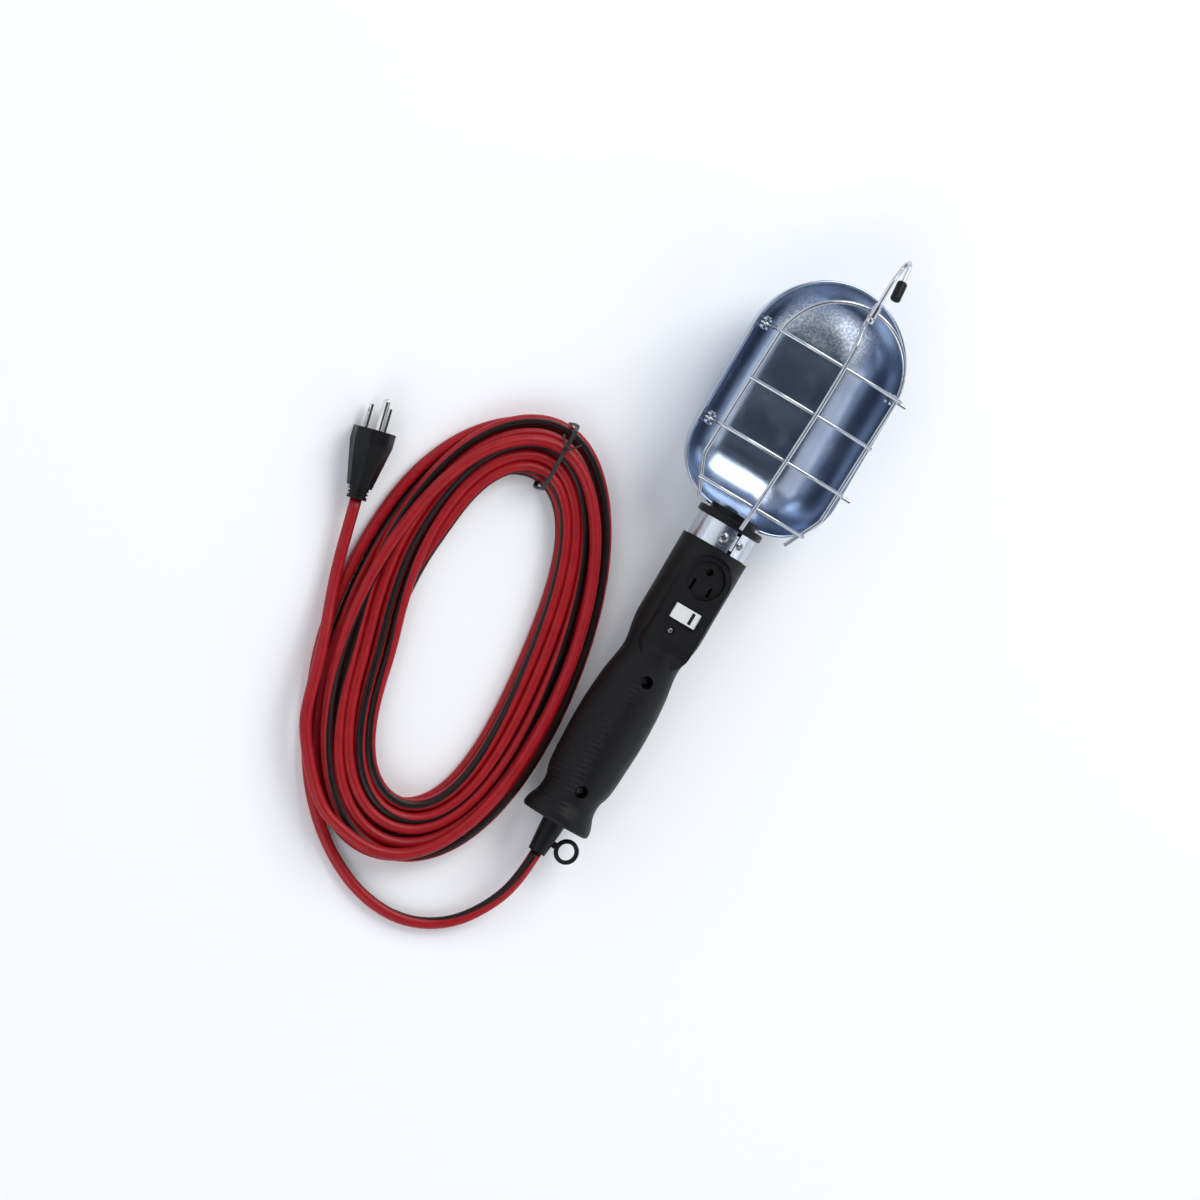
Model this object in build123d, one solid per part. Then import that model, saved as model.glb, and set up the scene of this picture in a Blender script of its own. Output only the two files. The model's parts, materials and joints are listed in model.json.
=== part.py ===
"""Hand-held work light: a metal reflector with a hinged wire guard and a swivel hook on a black
two-shell handle that holds an outlet, a rocker switch and the lamp socket, with a coiled cord.

Units are millimetres. Each piece is drawn in the lamp's own frame, where X runs across the lamp,
Y runs along the handle towards the hook (0 at the handle's top end) and Z points out of the
reflector's open front, with the handle's axis at X = Z = 0. The finished lamp is then laid on its
back, so that the reflector's base and the handle's flared end both touch the ground at Z = 0.
"""
from build123d import *
import math
import os

# ---- handle ---------------------------------------------------------------------------------
HANDLE_WALL = 2.6
HANDLE_END = -206.0            # butt end of the handle, along Y
HANDLE_TOP_WALL = 3.0
HANDLE_SHOULDER_R = 23.6       # the straight upper part
HANDLE_GRIP = [(-44, 23.4), (-66, 22.8), (-81, 20.2), (-98, 22.2), (-115, 24.0), (-137, 24.7),
               (-160, 23.8), (-177, 21.9), (-189, 20.1)]      # (Y, radius) down the grip
BUTT_R = 24.1                  # flared lip at the butt end
BUTT_LIP = 2.5                 # rounding of that lip
CORD_HOLE_R = 6.6
PILOT_POST_R = 4.8

SCREW_Y = (-97.8, -180.2)      # the two screws that close the shells
SCREW_RECESS_R = 4.3
SCREW_SEAT_Z = 12.0
SCREW_HEAD_R = 3.7
SCREW_SHAFT_R = 1.9
BOSS_R = 5.4

# ---- raised pad with the outlet and the switch --------------------------------------------------
PAD_Z = 20.4                   # its flat face
PAD_HALF_WIDTH = 17.0
PAD_TOP_Y = -4.2
PAD_STEP_Y = -74.0             # the face slopes away below this line
PAD_BOTTOM_Y = -87.0
PAD_DRAFT = 7.0                # degrees
PAD_SLOPE_DROP = 4.0
PAD_WALL = 2.8

OUTLET_Y = -21.5
OUTLET_R = 13.0
OUTLET_FACE_Z = 18.2
OUTLET_BACK_Z = 5.0
BLADE_SPACING = 12.7           # standard three-pin outlet and plug, centre to centre
GROUND_OFFSET = 11.9
GROUND_R = 2.4
LONG_SLOT = 8.1
SHORT_SLOT = 6.6
SLOT_WIDTH = 2.0
SLOT_DEPTH = 9.0

SWITCH_Y = -47.8
ROCKER_LENGTH_R = 10.6         # radius of the rocker's ends about its pivot
ROCKER_WIDTH = 10.4
ROCKER_PIVOT_Z = 15.5
ROCKER_THROW = 14.0            # degrees between off and on
ROCKER_GAP = 0.35
ARM_PIVOT_Z = 5.6
ARM_KNUCKLE_R = 0.9
ARM_HALF_LENGTH = 7.5
ARM_HALF_WIDTH = 2.2
ARM_HALF_THICK = 0.4
ARM_TIP_X = -6.4               # the silver tip under its left end
ARM_TIP_R = 1.1
PLUNGER_R = 1.5
PLUNGER_Z = (8.4, 13.0)
SPRING_Z = (13.05, 14.3)
ROCKER_PIN_R = 1.0
ROCKER_PIN_LENGTH = 12.6
ARM_THROW = 8.4                # degrees, the other way
PAD_SCREW_AT = (-3.5, -61.0)

# ---- lamp socket and its clamp ------------------------------------------------------------------
SOCKET_COLLAR_R = 20.0
SOCKET_GROOVE_R = 16.2
SOCKET_REAR_R = 18.0
FLANGE_R = 23.2
FLANGE_Y = (16.8, 21.6)
SOCKET_NOSE = 26.0
SOCKET_NOSE_R = 16.8
SHELL_R = 13.3                 # bore of the E26 screw shell
SHELL_WALL = 0.4
SHELL_FLOOR = 0.6
SHELL_BASE = 0.1
SHELL_RIVET_X = -9.0
BAND_IN_R = 20.2
BAND_OUT_R = 21.0
BAND_Y = (0.4, 16.4)
BAND_LEFT_END = 5.6            # degrees from the front: the clamp's gap is just right of centre
BAND_RIGHT_END = 14.0
CLAMP_SCREW_AT = -14.0
CLAMP_RIVET_AT = 22.0
RIVET_ANGLE = 17.0             # the two rivets at the back, either side of the middle

# ---- reflector ----------------------------------------------------------------------------------
RIM_Z = 3.0
REFLECTOR_BACK_Z = -44.0
REFLECTOR_R = 55.2             # half width, and radius of the round top
REFLECTOR_TOP_Y = 137.9        # centre of the round top
REFLECTOR_CORNER_R = 40.0
REFLECTOR_CORNER_Y = 63.4
REFLECTOR_INSET = 38.0         # how far the side walls curve in before the flat base
SHEET = 0.8
RIM_BEAD_R = 1.0
NOTCH_R = 19.2
TONGUE_HALF_ANGLE = 30.0

# ---- wire guard ---------------------------------------------------------------------------------
HOOP_WIRE = 2.8
SPINE_WIRE = 3.0
CROSS_WIRE = 2.5
WELD = 0.2                     # how far two welded wires sink into each other
HOOP_HALF_WIDTH = 45.5
HOOP_BEND_Y = 49.0
HOOP_BEND_Z = 22.3
HOOP_APEX_Y = 182.5
HOOP_APEX_Z = 36.0
HOOP_END_HALF_WIDTH = 33.5
HOOP_END_RUN = 25.0
HOOP_BEND_R = 12.0
SPINE = [(18.5, 28.0), (34.0, 31.8), (70.5, 38.5), (106.0, 44.0), (142.0, 45.8), (160.0, 43.0),
         (171.0, 35.5), (185.0, 33.3)]                        # (Y, Z) from the socket to the hook
SPINE_RADII = [150, 150, 150, 120, 12, 12]
UPPER_BAR_Y = 141.7
MIDDLE_BAR_Y = 106.0
LOWER_BAR_Y = 70.5
BASE_BAR_Y = 34.8

HINGE_X = -49.3
HINGE_Z = 5.0
HINGE_PIN_R = 1.25
RUNNING_GAP = 0.08
LATCH_X = 48.8
LATCH_Z = 5.6
LATCH_TIP_X = 61.5
EAR_GAP = 1.9
EAR_THICK = 1.7
EAR_R = 3.7

# ---- swivel hook --------------------------------------------------------------------------------
HOOK_WIRE = 3.0
HOOK_AXIS_Z = 40.1
BUSH_R = 2.9
BUSH_Y = (178.6, 186.6)
HOOK = [(174.8, HOOK_AXIS_Z), (205.0, HOOK_AXIS_Z), (217.6, 45.5), (221.4, 52.5), (217.2, 57.0),
        (194.8, 64.6)]                                        # (Y, Z) from its head to its tip
HOOK_RADII = [20, 8, 4.5, 8]
HOOK_HEAD_R = 2.8
TIP_R = 3.5
TIP_LENGTH = 14.0

# ---- strain relief and hang loop ----------------------------------------------------------------
RELIEF_END = -229.0
RELIEF_TOP_R = 8.0
RELIEF_END_R = 6.0
RELIEF_INSIDE = -199.0
LOOP_AT = (17.6, -219.4)
LOOP_R = 8.5
LOOP_HOLE_R = 5.3
LOOP_BORE_R = 5.6              # its worn-flat inner wall
CLAMP_Y = (-196.5, -190.5)     # the two saddles that grip the cord
CLAMP_Z = (1.0, 5.4)
CLAMP_HALF_WIDTH = 9.5
CLAMP_SCREW_X = 7.0
CORD_ENDS_Y = -189.5
WIRE_D = 2.4                   # insulated conductors inside the handle

# ---- cord, in the finished part's frame (X across, Y along the lamp, ground at Z = 0) -----------
CORD_D = 7.8
CORD_REST_Z = 3.9
LEAD = [(-2.9, -240.5, 20.2), (-7.5, -264.0, 12.5), (-24.0, -290.0, 5.0),
        (-52.0, -304.5, CORD_REST_Z), (-84.0, -304.0, CORD_REST_Z), (-116.0, -290.5, CORD_REST_Z),
        (-142.0, -270.0, CORD_REST_Z), (-163.0, -244.5, CORD_REST_Z),
        (-179.0, -213.0, CORD_REST_Z)]                            # strain relief to coil
TAIL = [(-179.5, -229.0, 16.0), (-185.5, -208.0, 17.5), (-190.5, -188.0, 17.0),
        (-196.0, -168.0, 14.5), (-202.5, -148.0, 8.5), (-209.0, -127.0, 7.0),
        (-215.5, -104.0, 9.5), (-221.0, -83.0, 10.5)]             # coil to plug
COIL_CENTRE = (-114.0, -126.5)
COIL_HALF_LENGTH = 153.5
COIL_HALF_WIDTH = 82.0
COIL_LEAN = 5.6                # degrees from Y towards -X
COIL_BUNDLE = 40.0             # width of the bundle of turns
COIL_HEIGHT = 21.5
COIL_CURVE = 6.0               # rounding of the bundle's upper edges
TIE_X = -119.0
TIE_Y = (-17.0, 30.5)
TIE_THICK = 1.4
TIE_WIDTH = 2.6

# ---- plug, from the cord's entry at its rear ----------------------------------------------------
PLUG_TURN = 14.0               # degrees from Y towards -X
PLUG_AXIS_Z = 10.5
PLUG_COLLAR = 8.0
PLUG_COLLAR_R = 6.6
PLUG_FACE_Y = 46.0
PLUG_HALF_WIDTH = 13.0
PLUG_HEIGHT = 26.0
BLADE = (6.4, 16.0, 1.5)       # width, length and thickness of a flat blade
GROUND_PIN_LENGTH = 21.5
PLUG_BLADE_Z = 7.0

# ---- how the lamp lies --------------------------------------------------------------------------
LIE_ANGLE = math.degrees(math.asin((-REFLECTOR_BACK_Z - BUTT_R) / 264.6))


def disc(radius, y_from, y_to, x=0.0, z=0.0):
    """A cylinder along Y."""
    return Pos(x, (y_from + y_to) / 2, z) * Rot(90, 0, 0) * Cylinder(radius, abs(y_to - y_from))


def stud(radius, x, y, z_from, z_to):
    """A cylinder along Z."""
    return Pos(x, y, (z_from + z_to) / 2) * Cylinder(radius, abs(z_to - z_from))


def block(x_from, x_to, y_from, y_to, z_from, z_to):
    """A box between two corners."""
    centre = Pos((x_from + x_to) / 2, (y_from + y_to) / 2, (z_from + z_to) / 2)
    return centre * Box(abs(x_to - x_from), abs(y_to - y_from), abs(z_to - z_from))


def turned(points):
    """A solid turned about the handle's axis, from (Y, radius) corners and the axis itself."""
    corners = [(radius, y) for y, radius in points]
    outline = Polyline(*corners, (0, points[-1][0]), (0, points[0][0]), close=True)
    return revolve(make_face(outline), Axis.Y, 360)


def arc_plate(r_in, r_out, angle_from, angle_to, y_from, y_to):
    """Part of a ring about the handle's axis; angles run from the front (+Z) towards +X."""
    section = Pos((r_in + r_out) / 2, (y_from + y_to) / 2) * Rectangle(r_out - r_in, y_to - y_from)
    ring = revolve(section, Axis.Y, angle_to - angle_from)
    return Rot(0, angle_from - 90, 0) * ring


def at_angle(angle, shape):
    """Turns a shape about the handle's axis, from the front towards +X."""
    return Rot(0, angle, 0) * shape


def rod(points, radii, diameter):
    """A round wire whose straight runs are joined by tangent arcs."""
    path = FilletPolyline(*points, radius=radii)
    start = Plane(origin=path @ 0, z_dir=path % 0)
    return sweep(start * Circle(diameter / 2), path=path)


# ---- handle -------------------------------------------------------------------------------------
def handle_form(inset):
    """The handle's outer form, or its hollow when inset by the wall."""
    grip = Spline(*[(radius - inset, y) for y, radius in HANDLE_GRIP], tangents=[(0, -1), (0.1, -1)])
    lip = BUTT_LIP if inset == 0 else 0.6
    end = HANDLE_END + inset
    top = 0 if inset == 0 else -HANDLE_TOP_WALL
    flare = Spline(grip @ 1, (BUTT_R - inset, end + lip), tangents=[grip % 1, (0, -1)])
    corner = ThreePointArc(flare @ 1, (BUTT_R - inset - 0.29 * lip, end + 0.29 * lip),
                           (BUTT_R - inset - lip, end))
    shoulder = Line((HANDLE_SHOULDER_R - inset, top), grip @ 0)
    rest = Polyline(corner @ 1, (0, end), (0, top), (HANDLE_SHOULDER_R - inset, top))
    return revolve(make_face([shoulder, grip, flare, corner, *rest.edges()]), Axis.Y, 360)


def pad_outline():
    """The pad's stadium shape, at the level of its face."""
    length = PAD_TOP_Y - PAD_BOTTOM_Y
    middle = (PAD_TOP_Y + PAD_BOTTOM_Y) / 2
    return Pos(0, middle) * Rot(0, 0, 90) * SlotOverall(length, 2 * PAD_HALF_WIDTH)


def pad_slope():
    """What is cut off above the pad's lower end."""
    run = PAD_STEP_Y - PAD_BOTTOM_Y
    corners = [(PAD_STEP_Y, PAD_Z), (PAD_BOTTOM_Y, PAD_Z - PAD_SLOPE_DROP),
               (PAD_BOTTOM_Y - run, PAD_Z - PAD_SLOPE_DROP), (PAD_BOTTOM_Y - run, PAD_Z + 1),
               (PAD_STEP_Y, PAD_Z + 1)]
    wedge = make_face(Plane.YZ * Polyline(*corners, close=True))
    return extrude(wedge, amount=PAD_HALF_WIDTH + 4, both=True)


def handle_hollow():
    """The space inside both shells, kept below the pad's wall."""
    under_pad = block(-30, 30, PAD_BOTTOM_Y - 4, 1, PAD_Z - PAD_WALL, 30)
    hollow = handle_form(HANDLE_WALL) - under_pad
    hollow += disc(SOCKET_REAR_R + 0.2, -7.4, -HANDLE_TOP_WALL)
    hollow += stud(OUTLET_R + 1.3, 0, OUTLET_Y, 0, PAD_Z - PAD_WALL)
    return hollow + block(-13.1, 13.1, SWITCH_Y - 7.3, SWITCH_Y + 7.3, 0, PAD_Z - PAD_WALL)


def handle_front_shell():
    """The front shell, with the pad, its openings and the screw wells."""
    pad = extrude(Pos(0, 0, PAD_Z) * pad_outline(), amount=-10, taper=-PAD_DRAFT) - pad_slope()
    above_pad = extrude(Pos(0, 0, PAD_Z) * pad_outline(), amount=8)
    above_pad -= block(-30, 30, PAD_STEP_Y, PAD_BOTTOM_Y - 5, PAD_Z - 1, PAD_Z + 12)
    body = handle_form(0) - above_pad + pad
    shell = body - handle_hollow()
    for y in SCREW_Y:
        shell += stud(BOSS_R, 0, y, 0, SCREW_SEAT_Z + 8) & handle_form(1)
        shell -= stud(SCREW_RECESS_R, 0, y, SCREW_SEAT_Z, 30)
        shell -= stud(SCREW_SHAFT_R + 0.2, 0, y, -1, SCREW_SEAT_Z + 1)
    shell -= stud(OUTLET_R + 0.2, 0, OUTLET_Y, OUTLET_FACE_Z - 4, PAD_Z + 2)
    shell -= Pos(0, SWITCH_Y, PAD_Z) * Box(22.8, 12.8, 12)
    shell -= stud(2.4, *PAD_SCREW_AT, PAD_Z - 1.6, PAD_Z + 2)
    shell -= stud(1.2, *PAD_SCREW_AT, PAD_Z - 6, PAD_Z)
    shell -= disc(SOCKET_GROOVE_R + 0.2, -HANDLE_TOP_WALL - 1, 1)
    shell -= disc(CORD_HOLE_R, HANDLE_END - 1, HANDLE_END + 6)
    return shell & block(-40, 40, HANDLE_END - 2, 2, 0, 40)


def handle_rear_shell():
    """The plain rear shell, with a pilot post for each screw."""
    shell = handle_form(0) - handle_form(HANDLE_WALL)
    for y in SCREW_Y:
        shell += stud(PILOT_POST_R, 0, y, -24, 0) & handle_form(1)
        shell -= stud(SCREW_SHAFT_R - 0.1, 0, y, -14, 1)
    shell -= disc(SOCKET_GROOVE_R + 0.2, -HANDLE_TOP_WALL - 1, 1)
    shell -= disc(CORD_HOLE_R, HANDLE_END - 1, HANDLE_END + 6)
    return shell & block(-40, 40, HANDLE_END - 2, 2, -40, 0)


def pan_head(radius, height):
    """A domed screw head standing on Z = 0, with a cross recess."""
    dome = Pos(0, 0, height - 1.6 * radius) * Sphere(1.6 * radius)
    dome &= Pos(0, 0, height / 2) * Cylinder(radius, height)
    for angle in (0, 90):
        dome -= Pos(0, 0, height) * Rot(0, 0, angle) * Box(1.1 * radius, 0.26 * radius, height)
    return dome


def handle_screws():
    """The two long screws that hold the shells together."""
    screws = []
    for y in SCREW_Y:
        head = Pos(0, y, SCREW_SEAT_Z) * pan_head(SCREW_HEAD_R, 2.6)
        screws.append(head + stud(SCREW_SHAFT_R - 0.1, 0, y, -13, SCREW_SEAT_Z + 0.5))
    return screws


def pad_screw():
    """The small screw that holds the switch to the pad."""
    x, y = PAD_SCREW_AT
    return Pos(x, y, PAD_Z - 1.6) * pan_head(2.2, 1.1) + stud(1.1, x, y, PAD_Z - 5.5, PAD_Z - 1.2)


# ---- outlet -------------------------------------------------------------------------------------
def blade_places():
    """Centre and slot length of the two flat blades' slots."""
    y = OUTLET_Y - GROUND_OFFSET / 2
    return [(-BLADE_SPACING / 2, y, LONG_SLOT), (BLADE_SPACING / 2, y, SHORT_SLOT)]


def outlet_face():
    """The round outlet insert with its two slots and its ground hole."""
    insert = stud(OUTLET_R, 0, OUTLET_Y, OUTLET_BACK_Z, OUTLET_FACE_Z)
    insert += stud(OUTLET_R + 1.2, 0, OUTLET_Y, PAD_Z - PAD_WALL - 2.2, PAD_Z - PAD_WALL - 0.1)
    for x, y, length in blade_places():
        slot = Box(SLOT_WIDTH, length, 2 * SLOT_DEPTH)
        insert -= Pos(x, y, OUTLET_FACE_Z) * slot
    ground_y = OUTLET_Y + GROUND_OFFSET / 2
    insert -= stud(GROUND_R + 0.1, 0, ground_y, OUTLET_FACE_Z - SLOT_DEPTH, OUTLET_FACE_Z + 1)
    pocket = block(-9.6, 9.6, OUTLET_Y - 9.0, OUTLET_Y + 9.7, OUTLET_BACK_Z - 1, OUTLET_FACE_Z - SLOT_DEPTH)
    return insert - (pocket & stud(OUTLET_R - 0.7, 0, OUTLET_Y, 0, OUTLET_FACE_Z))


def outlet_blade_contact(x, y):
    """A folded brass clip that grips one flat blade."""
    side = 1 if x > 0 else -1
    clip = block(x - 2.2, x + 2.2, y - 2.4, y + 2.4, 2.4, 8.8)
    clip -= block(x - 1.4, x + 1.4, y - 3, y + 3, 3.4, 9)
    return clip + block(x - 0.8 + side, x + 0.8 + side, y - 2, y + 2, -0.6, 2.6)


def outlet_ground_contact():
    """The brass tube that grips the ground pin."""
    y = OUTLET_Y + GROUND_OFFSET / 2
    tube = stud(GROUND_R + 0.9, 0, y, 2.6, 8.8) - stud(GROUND_R + 0.1, 0, y, 3.6, 9)
    return tube + block(-1.5, 1.5, y - 1.2, y + 0.4, -1.0, 2.8)


# ---- switch -------------------------------------------------------------------------------------
def rocker_axis_disc(radius, width, pivot_z=ROCKER_PIVOT_Z):
    """A cylinder about the rocker's pivot."""
    return disc(radius, SWITCH_Y - width / 2, SWITCH_Y + width / 2, 0, pivot_z)


def switch_body():
    """The switch's case: a flush bezel on a wider box that is open round the rocker."""
    case = block(-11.2, 11.2, SWITCH_Y - 6.2, SWITCH_Y + 6.2, PAD_Z - PAD_WALL - 0.1, PAD_Z - 0.05)
    case += block(-13, 13, SWITCH_Y - 7.2, SWITCH_Y + 7.2, 0.5, PAD_Z - PAD_WALL - 0.1)
    width = ROCKER_WIDTH + 2 * ROCKER_GAP
    case -= rocker_axis_disc(ROCKER_LENGTH_R + ROCKER_GAP, width)
    case -= block(-9.6, 9.6, SWITCH_Y - width / 2, SWITCH_Y + width / 2, 2.0, 13)
    for x in (-6.7, 6.9):
        case -= block(x - 0.5, x + 0.5, SWITCH_Y - 1.7, SWITCH_Y + 1.7, 0, 3)
    return case - rocker_axis_disc(1.2, 13.0)


def rocker():
    """The white rocker, resting with its off side pressed flush."""
    half_v = math.radians(ROCKER_THROW / 2)
    end = ROCKER_LENGTH_R + 1
    rise = end * math.tan(half_v)
    top = PAD_Z + 0.4
    corners = [(-end, top + rise), (0, top), (end, top + rise), (end, 11.6), (-end, 11.6)]
    side = make_face(Plane.XZ * Polyline(*corners, close=True))
    bar = Pos(0, SWITCH_Y, 0) * extrude(side, amount=ROCKER_WIDTH / 2, both=True)
    bar = bar & rocker_axis_disc(ROCKER_LENGTH_R, ROCKER_WIDTH)
    bar -= stud(1.7, 0, SWITCH_Y, 11, 18.5)
    bar -= rocker_axis_disc(ROCKER_PIN_R, ROCKER_WIDTH + 2)
    return at_rest_tilt(bar)


def at_rest_tilt(shape):
    """Tilts a piece of the rocker about its pivot from centred to off."""
    pivot = Pos(0, 0, ROCKER_PIVOT_Z)
    return pivot * Rot(0, -ROCKER_THROW / 2, 0) * Pos(0, 0, -ROCKER_PIVOT_Z) * shape


def rocker_pivot_pin():
    """The steel pin that the rocker turns on; it is pressed into the rocker."""
    return rocker_axis_disc(ROCKER_PIN_R, ROCKER_PIN_LENGTH)


def rocker_plunger():
    """The plunger in the rocker that tips the contact arm."""
    tip = Pos(0, SWITCH_Y, PLUNGER_Z[0]) * Sphere(PLUNGER_R)
    return at_rest_tilt(stud(PLUNGER_R, 0, SWITCH_Y, *PLUNGER_Z) + tip)


def rocker_spring():
    """The plunger's spring, drawn as the sleeve that it fills."""
    return at_rest_tilt(stud(PLUNGER_R, 0, SWITCH_Y, *SPRING_Z))


def contact_arm():
    """The rocking contact arm, resting with its right end down."""
    y_from, y_to = SWITCH_Y - ARM_HALF_WIDTH, SWITCH_Y + ARM_HALF_WIDTH
    arm = block(-ARM_HALF_LENGTH, ARM_HALF_LENGTH, y_from, y_to,
                ARM_PIVOT_Z - ARM_HALF_THICK, ARM_PIVOT_Z + ARM_HALF_THICK)
    arm += stud(ARM_TIP_R, ARM_TIP_X, SWITCH_Y, ARM_PIVOT_Z - 1.5, ARM_PIVOT_Z - 0.3)
    arm += disc(ARM_KNUCKLE_R, y_from, y_to, 0, ARM_PIVOT_Z)
    pivot = Pos(0, 0, ARM_PIVOT_Z)
    return pivot * Rot(0, ARM_THROW / 2, 0) * Pos(0, 0, -ARM_PIVOT_Z) * arm


def switch_terminal(x_from, x_to, top):
    """One terminal tab through the floor of the switch's case."""
    foot = block(x_from, x_to, SWITCH_Y - 2, SWITCH_Y + 2, 2.05, top)
    return foot + block((x_from + x_to) / 2 - 0.4, (x_from + x_to) / 2 + 0.4,
                        SWITCH_Y - 1.6, SWITCH_Y + 1.6, -5.0, 2.2)


# ---- lamp socket --------------------------------------------------------------------------------
def socket_body():
    """The black socket body: rear rim, groove for the shells, collar, flange and nose."""
    steps = [(-7.0, SOCKET_REAR_R), (-3.2, SOCKET_REAR_R), (-3.2, SOCKET_GROOVE_R),
             (0.2, SOCKET_GROOVE_R), (0.2, SOCKET_COLLAR_R), (FLANGE_Y[0], SOCKET_COLLAR_R),
             (FLANGE_Y[0], FLANGE_R - 0.8), (FLANGE_Y[0] + 0.8, FLANGE_R),
             (FLANGE_Y[1] - 0.8, FLANGE_R), (FLANGE_Y[1], FLANGE_R - 0.8),
             (FLANGE_Y[1], SOCKET_NOSE_R), (SOCKET_NOSE, SOCKET_NOSE_R)]
    body = turned(steps)
    body -= disc(SHELL_R + SHELL_WALL + 0.05, SHELL_BASE - 0.1, SOCKET_NOSE + 1)
    body -= disc(3.0, -8, SHELL_BASE) + disc(1.65, -8, SHELL_BASE, SHELL_RIVET_X, 0)
    body -= arc_plate(18.0, 24.0, 180 - 33, 180 + 33, FLANGE_Y[0] - 17, FLANGE_Y[1] + 0.2) - \
        disc(SOCKET_COLLAR_R, -1, FLANGE_Y[1] + 1)
    return body - arc_plate(18.2, 20.3, -38, 38, 1.4, 15.4)


def screw_shell():
    """The brass shell that the lamp screws into."""
    cup = disc(SHELL_R + SHELL_WALL, SHELL_BASE, SOCKET_NOSE - 1.2)
    cup -= disc(SHELL_R, SHELL_BASE + SHELL_FLOOR, SOCKET_NOSE)
    return cup - disc(5.6, SHELL_BASE - 1, SHELL_BASE + 1)


def centre_contact():
    """The spring tongue under the lamp's tip, pressed down, with its rivet through the floor."""
    rivet = disc(2.6, -9.4, SHELL_BASE)
    tongue = block(-3.2, 3.2, SHELL_BASE, SHELL_BASE + 0.7, -4.8, 4.8) & disc(4.9, -1, 2)
    return rivet + tongue


def clamp_band(angle_from, angle_to, screw_angle):
    """One half of the sheet-steel band round the socket's collar, with a stiffening bead."""
    band = arc_plate(BAND_IN_R, BAND_OUT_R, angle_from, angle_to, *BAND_Y)
    for angle in (screw_angle, 180 - RIVET_ANGLE, 180 + RIVET_ANGLE):
        band -= at_angle(angle, stud(2.0, 0, sum(BAND_Y) / 2, 15, 25))
    return band


def clamp_strap():
    """The curved strap under the band's two front ends."""
    strap = arc_plate(19.35, 20.15, -34, 34, 3.0, 13.8)
    for angle in (CLAMP_SCREW_AT, CLAMP_RIVET_AT):
        strap -= at_angle(angle, stud(1.95, 0, sum(BAND_Y) / 2, 15, 25))
    return strap


def clamp_fastener(angle, head_r, height):
    """A screw or rivet through the band and the strap."""
    y = sum(BAND_Y) / 2
    head = Pos(0, y, BAND_OUT_R - 0.15) * pan_head(head_r, height)
    return at_angle(angle, head + stud(1.9, 0, y, 18.4, BAND_OUT_R + 0.4))


def tongue_rivets():
    """The two rivets that join the reflector's tongue to the band, at the back."""
    rivets = []
    for angle in (180 - RIVET_ANGLE, 180 + RIVET_ANGLE):
        head = Pos(0, sum(BAND_Y) / 2, BAND_OUT_R + SHEET) * Sphere(2.4)
        head = head & Pos(0, sum(BAND_Y) / 2, BAND_OUT_R + SHEET + 1) * Cylinder(3, 2)
        shank = stud(1.5, 0, sum(BAND_Y) / 2, BAND_IN_R + 0.1, BAND_OUT_R + SHEET + 0.2)
        rivets.append(at_angle(angle, head + shank))
    return rivets


# ---- reflector ----------------------------------------------------------------------------------
def bowl_section(radius, inset, back_z, top_z):
    """Half of a cross-section: an elliptical wall from the rim down to the flat base."""
    wall = EllipticalCenterArc((radius - inset, RIM_Z), inset, RIM_Z - back_z, -90, arc_size=90)
    corners = [wall @ 1, (radius, top_z), (0, top_z), (0, back_z), wall @ 0]
    if top_z == RIM_Z:
        corners.pop(1)
    return Plane.XZ * make_face([wall, *Polyline(*corners).edges()])


def bowl(shrink, top_z):
    """The reflector's whole form, shrunk by the sheet's thickness for its hollow."""
    inset = REFLECTOR_INSET - shrink
    back_z = REFLECTOR_BACK_Z + shrink
    wide = bowl_section(REFLECTOR_R - shrink, inset, back_z, top_z)
    narrow = bowl_section(REFLECTOR_CORNER_R - shrink, inset, back_z, top_z)
    corner_x = REFLECTOR_R - REFLECTOR_CORNER_R
    length = REFLECTOR_TOP_Y - REFLECTOR_CORNER_Y
    form = Pos(0, REFLECTOR_TOP_Y, 0) * revolve(wide, Axis.Z, 180)
    side = Pos(0, REFLECTOR_TOP_Y, 0) * extrude(wide, amount=length)
    form += side + mirror(side, Plane.YZ)
    corner = Pos(corner_x, REFLECTOR_CORNER_Y, 0) * Rot(0, 0, -90) * revolve(narrow, Axis.Z, 90)
    form += corner + mirror(corner, Plane.YZ)
    middle = Rot(0, 0, -90) * extrude(narrow, amount=corner_x, both=True)
    return form + Pos(0, REFLECTOR_CORNER_Y, 0) * middle


def rim_bead():
    """The rolled edge round the rim."""
    radius = REFLECTOR_R - SHEET / 2
    corner_r = REFLECTOR_CORNER_R - SHEET / 2
    corner_x = REFLECTOR_R - REFLECTOR_CORNER_R
    bottom_y = REFLECTOR_CORNER_Y - corner_r
    top = ThreePointArc((radius, REFLECTOR_TOP_Y), (0, REFLECTOR_TOP_Y + radius), (-radius, REFLECTOR_TOP_Y))
    left = Line(top @ 1, (-radius, REFLECTOR_CORNER_Y))
    left_corner = RadiusArc(left @ 1, (-corner_x, bottom_y), -corner_r)
    bottom = Line(left_corner @ 1, (corner_x, bottom_y))
    right_corner = RadiusArc(bottom @ 1, (radius, REFLECTOR_CORNER_Y), -corner_r)
    right = Line(right_corner @ 1, top @ 0)
    path = Pos(0, 0, RIM_Z - 0.3) * Wire([top, left, left_corner, bottom, right_corner, right])
    start = Plane(origin=path @ 0, z_dir=path % 0)
    return sweep(start * Circle(RIM_BEAD_R), path=path)


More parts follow.
